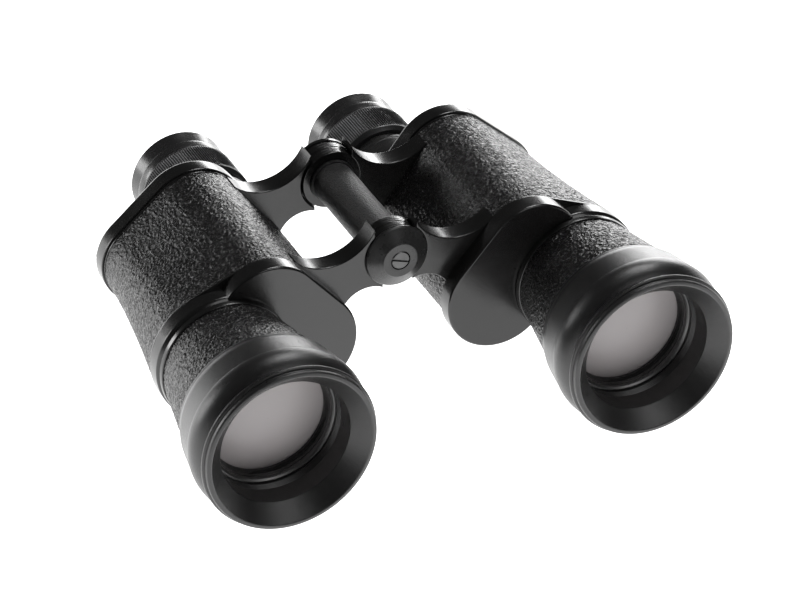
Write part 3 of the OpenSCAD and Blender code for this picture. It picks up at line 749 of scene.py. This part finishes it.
def casting(side):
    """The hollow cast housing with a rim at each end and two arms with their knuckles."""
    rim, ease, nip = 0.9, 0.2, 0.06
    solid = Solid(side)

    def ring(y, inset):
        return (y, evenly(outline(case_circles(y), inset), 300))

    front, rear = case_front, case_rear
    outer = [ring(front, ease), ring(front + nip, nip), ring(front + ease, 0),
             ring(front + rim - ease, 0), ring(front + rim - nip, nip), ring(front + rim, ease),
             ring(front + rim, skin_t)]
    outer += [ring(front + rim + (rear - front - 2 * rim) * i / 8, skin_t) for i in range(1, 9)]
    outer += [ring(rear - rim, ease), ring(rear - rim + nip, nip), ring(rear - rim + ease, 0),
              ring(rear - ease, 0), ring(rear - nip, nip), ring(rear, ease)]
    wall = skin_t + case_wall
    ledge_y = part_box(f"{side}_prism_shelf")[1].y / MM
    rear_pocket = pocket_rings(rear, ledge_y, upper_lobe_r - wall - 1, outer_lobe_rear_r - wall,
                               inner_lobe_r - wall - 1)
    front_pocket = pocket_rings(ledge_y, front, upper_lobe_r - wall, shelf_pocket_r, inner_lobe_r - wall)
    outer_front, outer_rear = solid.wall(outer)
    rear_mouth, rear_floor = solid.wall(rear_pocket)
    front_floor, front_mouth = solid.wall(front_pocket)
    solid.flat(outer_rear, rear_mouth)
    solid.flat(rear_floor, front_floor)
    solid.flat(front_mouth, outer_front)

    arm_t, rear_arm_inset, rear_arm_reach = 7.5, 0.3, 8.3
    gap, soft = 0.15, 0.4
    knuckle_ring = arm_ring(knuckle_r - 0.4, 4.55)
    plain_ring = arm_ring(knuckle_r + 0.6, 6.2)
    outer_half = side == "right"
    front_arm = (front, front + arm_t, outer_half)
    rear_arm = (rear - rear_arm_reach, rear - rear_arm_inset, not outer_half)
    for y0, y1, knuckle_first in (front_arm, rear_arm):
        split = (y0 + y1) / 2 + (-gap if knuckle_first else gap)
        first_ring, last_ring = (knuckle_ring, plain_ring) if knuckle_first else (plain_ring, knuckle_ring)
        solid.slab(first_ring, y0, split, round0=soft)
        solid.slab(last_ring, split, y1, round1=soft)
        solid.turned((0, 0), knuckle_profile(y0, split) if knuckle_first else knuckle_profile(split, y1))
    solid.finish(f"{side}_casting", "casting", f"{side}_barrel", [f"{side}_body"])


def bitten(ring, centre, radius):
    """An anticlockwise outline with a circle that crosses it cut away."""
    middle = Vector(centre)
    inside = [(p - middle).length < radius for p in ring]
    first = next(i for i in range(len(ring)) if inside[i - 1] and not inside[i])
    turned = ring[first:] + ring[:first]
    kept = [p for p in turned if (p - middle).length >= radius]
    start = math.degrees(math.atan2(kept[-1].y - middle.y, kept[-1].x - middle.x))
    end = math.degrees(math.atan2(kept[0].y - middle.y, kept[0].x - middle.x))
    if end > start:
        end -= 360
    return kept + arc_ring(centre, radius, start, end, 60)[1:-1]


def shield(side):
    """The smooth cover in front of the prisms, with a crisp rounded edge and the tube's stepped flange."""
    solid = Solid(side)
    edge, bore, flange_t = 0.9, 20.5, 2.4
    upper_r, lower_r = 17.8, 18.8
    face = shield_front + flange_t
    whole = evenly(outline([(upper_lobe, upper_r), (shield_lobe, lower_r)]), 300)
    solid.slab(bitten(whole, objective, bore + 0.05), face, shield_rear, round0=edge, steps=7)
    step = rounded([
        (bore, shield_front, 0), (22.4, shield_front, 0.4), (22.6, shield_front + 1.9, 0.3),
        (22.0, shield_front + 2.35, 0.15), (22.6, shield_front + 2.9, 0.2),
        (flange_r, shield_front + 3.5, 0.35), (flange_r, shield_rear, 0.1), (bore, shield_rear, 0),
    ], 4)
    solid.turned(objective, step, 220)
    solid.finish(f"{side}_shield", "shield", f"{side}_barrel", [f"{side}_front_plate"])


def rear_screw_points():
    """The three screws, in the middle of the housing's wall."""
    wall_middle = skin_t + case_wall / 2
    places = ((upper_lobe, upper_lobe_r, 75), (objective, outer_lobe_rear_r, 5),
              (objective, outer_lobe_rear_r, -110))
    return [arc_ring(centre, radius - wall_middle, turn, turn, 1)[0] for centre, radius, turn in places]


def rear_cover(side):
    """The domed cover behind the prisms, with a proud lip, the eyepiece socket and screw holes."""
    solid = Solid(side)
    edge, front_edge, nip = 2.2, 0.4, 0.12
    socket_r, pocket_depth = 14.1, 4.4
    hole_mouth_r, hole_r, hole_depth = 2.0, 1.8, 1.6
    circles = case_circles(case_rear)

    def ring(y, inset):
        return (y, evenly(outline(circles, inset - cover_lip), 300))

    rings = [ring(cover_front, front_edge), ring(cover_front + nip, nip), ring(cover_front + front_edge, 0)]
    rings += [ring(cover_rear - depth, inset) for depth, inset in rounded_edge(edge, 10)]
    front, rear = solid.wall(rings)
    pocket_y = cover_front + pocket_depth
    wall = skin_t + case_wall
    bore_rear, bore_front = solid.wall([(cover_rear, circle_points(eyepiece, socket_r, 128)),
                                        (pocket_y, circle_points(eyepiece, socket_r, 128))])
    pocket = pocket_rings(pocket_y, cover_front, upper_lobe_r - wall - 1, outer_lobe_rear_r - wall,
                          inner_lobe_r - wall - 1)
    pocket_floor, pocket_mouth = solid.wall(pocket)
    holes = []
    for place in rear_screw_points():
        mouth, floor = solid.wall([(cover_rear, circle_points(place, hole_mouth_r, 32)),
                                   (cover_rear - 0.2, circle_points(place, hole_r, 32)),
                                   (cover_rear - hole_depth, circle_points(place, hole_r, 32))])
        solid.flat(floor)
        holes.append(mouth)
    solid.flat(rear, bore_rear, *holes)
    solid.flat(bore_front, pocket_floor)
    solid.flat(pocket_mouth, front)
    solid.finish(f"{side}_rear_cover", "plate", f"{side}_barrel", [f"{side}_rear_plate"])


# ---------------------------------------------------------------- turned pieces

def arc_profile(r, y, radius, start, end, steps):
    """Points of a profile on an arc, with its angles in degrees."""
    return arc_ring((r, y), radius, start, end, steps)


def flared_cell(side):
    """The flared cell: a funnel mouth, two turned ridges, a swelling body and a taper to the tube."""
    at = cell_front
    rim_r = cell_r - 1.8
    seat_y, seat_step, thread_y = at + 17.6, at + 16.6, at + 15.9
    pitch, thread_depth, threads = 0.7, 0.25, 4
    profile = [Vector((throat_r + 0.4, seat_y)), Vector((throat_r + 0.4, seat_step)),
               Vector((throat_r, seat_step))]
    for turn in range(threads):
        y = thread_y - pitch * turn
        profile += [Vector((throat_r, y)), Vector((throat_r + thread_depth, y - thread_depth)),
                    Vector((throat_r, y - 2 * thread_depth))]
    profile += [Vector((throat_r, at + 6.1))]
    # The funnel's inner and outer edges, the bright bead and the first ridge
    profile += arc_profile(throat_r + 0.4, at + 6.0, 0.4, 180, 222, 3)
    profile += arc_profile(rim_r - 0.9, at + 0.7, 0.7, 222, 300, 6)
    profile += arc_profile(rim_r - 0.5, at + 0.9, 0.9, 300, 360, 5)
    profile += arc_profile(rim_r + 0.62, at + 1.5, 0.24, 180, 100, 4)
    profile += arc_profile(cell_r - 1.5, at + 2.9, 0.9, 240, 370, 9)
    # The swelling body and the taper
    profile += arc_profile(cell_r - 9, at + 11.5, 9, -42, 18, 22)
    profile += rounded([(cell_r - 0.45, at + 14.3, 0), (cell_r - 1.8, at + 23.7, 1.5),
                        (cell_r - 2.6, at + 25.6, 0.6), (tube_front_r + 0.7, at + 26.2, 0.2)])[1:]
    profile += arc_profile(tube_front_r + 0.1, at + 26.5, 0.5, 10, 90, 4)
    profile += [Vector((25.5, at + 27)), Vector((25.5, seat_y))]
    lathe(f"{side}_flared_cell", side, objective, profile, "cell", f"{side}_barrel",
          [f"{side}_objective_cell"], segments=256)


def lens_ring(side):
    """The black ring that holds the objective lens, and its front lip in a lighter metal whose tone is a painted
    reflection on its chamfer.
    """
    at, end = retainer_front, retainer_rear
    outer_r, bore = throat_r - 0.1, throat_r - 1.6
    lip = rounded([(outer_r, at, 0), (outer_r - 0.55, at, 0.15), (bore + 0.35, at + 0.7, 0.2),
                   (bore + 0.3, at + 2.0, 0.1), (outer_r, at + 2.0, 0)], 4)
    # The lip's lighter metal tone is a painted reflection on the retainer's front chamfer
    lathe(f"{side}_lens_ring_lip", side, objective, lip, "tube_metal", f"{side}_barrel", segments=160)
    ring = rounded([(outer_r, at + 2.05, 0), (bore + 0.3, at + 2.05, 0.1), (bore, at + 3.0, 0.15),
                    (bore - 0.75, end - 1.1, 0.2), (bore - 0.75, end - 0.4, 0.1), (outer_r, end, 0)], 4)
    lathe(f"{side}_lens_ring", side, objective, ring, "inner_black", f"{side}_barrel",
          [f"{side}_lens_retainer"], segments=160)


def hard_eyecup(side):
    """The polished eyecup with a rolled rim and a dished face."""
    lip = 1.5
    at, end = cup_front, cup_rear
    profile = rounded([(grip_bore_r, at, 0), (cup_r - 0.6, at, 0.3), (cup_r - 0.35, at + 1.3, 0.4),
                       (cup_r, at + 5, 3)])
    profile += arc_profile(cup_r - lip, end - lip, lip, 0, 150, 16)
    profile += arc_profile(13.2, end - 6.9, 1.0, 40, -40, 6)
    profile += [Vector((grip_bore_r, end - 8))]
    lathe(f"{side}_hard_eyecup", side, eyepiece, profile, "eyecup_plastic", f"{side}_focus_grip",
          [f"{side}_eyecup"], segments=224)


def knurled_ring(side):
    """The straight-knurled focus ring with a polished chamfer in front."""
    ribs, rib_depth, fade = 132, 0.3, 0.3
    at, end = ring_front, ring_rear

    def rib(turn, r, y):
        inside = min(1.0, max(0.0, (y - at - 1.75) / fade), max(0.0, (end - 1.05 - y) / fade))
        if r < ring_r - 0.3 or inside <= 0:
            return 0.0
        return -rib_depth * inside * (0.5 - 0.5 * math.cos(ribs * turn)) ** 0.8

    outside = [(ring_r, at + 1.7), (ring_r, at + 1.9), (ring_r, at + 2.1)]
    outside += [(ring_r, at + 2.1 + (end - at - 3.5) * i / 6) for i in range(1, 7)]
    outside += [(ring_r, end - 1.2), (ring_r, end - 0.9), (ring_r - 0.15, end - 0.45),
                (ring_r - 0.55, end)]
    bore = [(grip_bore_r, end), (grip_bore_r, end - 2.7), (ring_bore_r, end - 2.7)]
    profile = [Vector((ring_bore_r, at))]
    profile += rounded([(ring_r - 1.3, at, 0), (ring_r - 1.15, at, 0.12),
                        (ring_r - 0.12, at + 1.3, 0.2), (ring_r, at + 1.6, 0)], 3)[1:]
    profile += [Vector(p) for p in outside + bore]
    lathe(f"{side}_knurled_ring", side, eyepiece, profile, "knurled_metal", f"{side}_focus_grip",
          [f"{side}_focus_ring"], segments=ribs * 8, ripple=rib, sharp=60)


def eyepiece_base(side):
    """The turned collar behind the rear cover and the threaded sleeve under the focus ring."""
    foot = cover_rear
    collar_rear = foot + 12
    sleeve_r, sleeve_bore, spigot_r, spigot_t = 15.2, 13.0, 14, 3
    collar_side = collar_r - 0.5
    pitch, thread_depth = 0.5, 0.15
    profile = [Vector((sleeve_bore, foot - spigot_t)), Vector((spigot_r, foot - spigot_t)),
               Vector((spigot_r, foot + 0.05))]
    profile += rounded([(spigot_r + 0.1, foot + 0.05, 0), (collar_r, foot + 0.05, 0.3),
                        (collar_r, foot + 1.7, 0.35), (collar_side, foot + 2.0, 0.12),
                        (collar_side, collar_rear - 1.7, 0.1), (collar_r - 0.75, collar_rear - 1.5, 0.08),
                        (collar_side, collar_rear - 1.3, 0.1), (collar_side, collar_rear, 0.45),
                        (sleeve_r + 0.3, collar_rear, 0.1)], 4)[1:]
    threads = int((sleeve_rear - collar_rear - 0.6) / pitch)
    profile.append(Vector((sleeve_r - thread_depth, collar_rear + 0.1)))
    for i in range(threads):
        profile += [Vector((sleeve_r - thread_depth, collar_rear + 0.3 + pitch * i)),
                    Vector((sleeve_r, collar_rear + 0.5 + pitch * i))]
    profile += [Vector((sleeve_r - 0.3, sleeve_rear)), Vector((sleeve_bore, sleeve_rear))]
    lathe(f"{side}_eyepiece_base", side, eyepiece, profile, "eyepiece_metal", f"{side}_barrel",
          [f"{side}_eyepiece_mount"], segments=192)


def painted_hinge_tube():
    """The tube between the arms, with a stepped collar at each end, in lumpy crackle paint."""
    bore, collar, steps = 5.05, 0.6, 150
    lumps_per_mm, lump_depth, grain_depth = 1.5, 0.09, 0.05
    y0, y1 = hinge_tube_front, hinge_tube_rear
    body_r = hinge_tube_r - collar
    profile = rounded([(bore, y0, 0), (body_r + collar, y0, 0.2), (body_r + collar, y0 + 0.9, 0.15),
                       (body_r, y0 + 1.3, 0.2)], 3)
    length = y1 - y0 - 3.6
    profile += [Vector((body_r, y0 + 1.8 + length * i / steps)) for i in range(steps + 1)]
    profile += rounded([(body_r, y1 - 1.3, 0.2), (body_r + collar, y1 - 0.9, 0.15),
                        (body_r + collar, y1, 0.2), (bore, y1, 0)], 3)

    def lumps(turn, r, y):
        if abs(r - body_r) > 0.01:
            return 0.0
        at = Vector((body_r * math.cos(turn), y, body_r * math.sin(turn))) * lumps_per_mm
        return -lump_depth * (0.5 + 0.5 * noise.noise(at)) - grain_depth * abs(noise.noise(at * 2.3))

    lathe("painted_hinge_tube", "left", (0, 0), profile, "crackle_paint", "right_barrel",
          ["hinge_tube"], segments=190, ripple=lumps, sharp=50)


def turned_hinge_cap():
    """The conical cap with a flat land, a recess round the screw and fine turning grooves."""
    at, end = cap_front, cap_rear
    bore, recess_r, recess_y = 1.7, 3.35, cap_front + 1.65
    profile = rounded([(bore, recess_y, 0), (recess_r, recess_y, 0.1), (3.4, at, 0.12), (6.0, at, 0.1),
                       (6.2, at + 0.12, 0.06), (cap_r - 0.3, at + 2.95, 0.2), (cap_r, at + 3.3, 0.2),
                       (cap_r, end, 0.15), (bore, end, 0)], 4)
    lathe("turned_hinge_cap", "left", (0, 0), profile, "turned_metal", "right_barrel",
          ["hinge_front_cap"], segments=224)


add_camera()
add_world()
add_light("top_softbox", (0.45, 0.35, 1.0), (0, 0, 0), (0.34, 0.34), 6)
add_light("back_right_card", (0.85, 1.1, 0.24), (0, 0, 0.03), (0.7, 0.35), 7.5)
add_light("left_card", (-1.0, 0.7, 0.26), (0, 0, 0.03), (0.4, 0.35), 5)
add_light("front_fill", (0.4, -0.75, 0.95), (0, 0, 0.03), (0.7, 0.5), 3)
add_floor()

for node, piece in frame["nodes"].items():
    piece.data.materials.clear()
    piece.data.materials.append(materials[slot_of[node]])

for side in ("left", "right"):
    leather_skin(side)
    tube_leather(side)
    casting(side)
    shield(side)
    rear_cover(side)
    flared_cell(side)
    lens_ring(side)
    hard_eyecup(side)
    knurled_ring(side)
    eyepiece_base(side)
painted_hinge_tube()
turned_hinge_cap()
